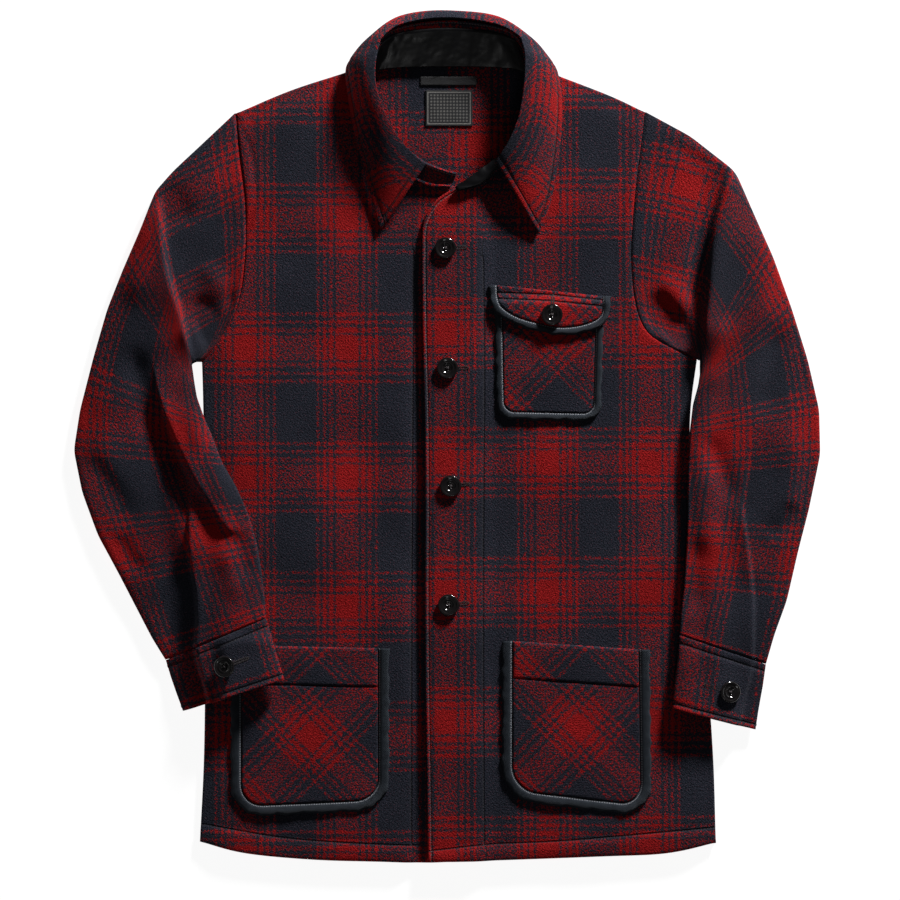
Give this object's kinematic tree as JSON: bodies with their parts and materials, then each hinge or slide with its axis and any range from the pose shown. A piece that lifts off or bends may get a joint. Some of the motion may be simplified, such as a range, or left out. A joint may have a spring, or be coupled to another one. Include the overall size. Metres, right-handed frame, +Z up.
{
  "type": "wool jacket",
  "caption": "Plaid wool jacket laid flat, buttoned, with pointed collar, bound chest pocket under a flap, bound hip pockets and buttoned cuffs.",
  "frame": {"origin": "on the surface it lies on, under the middle of the outline", "axes": "+X to the wearer's left, +Y to the collar, +Z up from the surface, out of the front"},
  "size_m": [0.717, 0.8176, 0.034],
  "materials": {
    "wool_red": "heavy napped wool, red and charcoal plaid",
    "wool_dark": "heavy napped wool, the charcoal of the plaid",
    "twill_tape": "dark twill tape, folded over the edge",
    "glossy_lining": "glossy black satin",
    "horn": "polished black",
    "label_cloth": "woven black tape"
  },
  "bodies": {
    "root": {"back": "wool_red", "front_left": "wool_red", "front_right": "wool_red", "sleeve_left": "wool_red", "sleeve_right": "wool_red", "cuff_left": "wool_red", "cuff_right": "wool_red", "collar_stand": "wool_dark", "collar_leaf": "wool_red", "neck_lining": "glossy_lining", "hip_pocket_left": "wool_red", "hip_pocket_right": "wool_red", "hip_band_left": "wool_dark", "hip_band_right": "wool_dark", "hip_binding_left": "twill_tape", "hip_binding_right": "twill_tape", "chest_pocket": "wool_red", "chest_binding": "twill_tape", "flap": "wool_red", "flap_binding": "twill_tape", "button_1": "horn", "button_2": "horn", "button_3": "horn", "button_4": "horn", "button_flap": "horn", "button_cuff_left": "horn", "button_cuff_right": "horn", "label_tape": "label_cloth", "label_patch": "label_cloth"}
  },
  "joints": []
}
